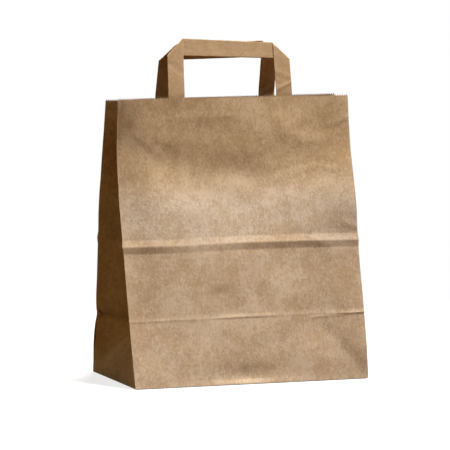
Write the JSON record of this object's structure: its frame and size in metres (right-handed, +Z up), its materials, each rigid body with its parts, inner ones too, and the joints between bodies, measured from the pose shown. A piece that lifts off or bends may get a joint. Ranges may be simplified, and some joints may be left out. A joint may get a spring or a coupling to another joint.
{
  "type": "paper carrier bag",
  "caption": "Upright brown paper carrier bag with a folded block bottom, gusseted sides, a saw-toothed mouth and flat folded paper handles, for carrying shopping.",
  "frame": {"origin": "middle of the underside, on the surface that the bag stands on", "axes": "+Z up towards the mouth and handles, the front panel faces -Y, +X to the right of someone facing the front"},
  "size_m": [0.254, 0.14, 0.3543],
  "materials": {
    "brown_paper": "unbleached, matt, creased",
    "handle_paper": "unbleached, matt, folded strip",
    "patch_paper": "unbleached, matt"
  },
  "bodies": {
    "root": {"bag_body": "brown_paper", "front_handle": "handle_paper", "back_handle": "handle_paper", "front_patch": "patch_paper", "back_patch": "patch_paper"}
  },
  "joints": []
}
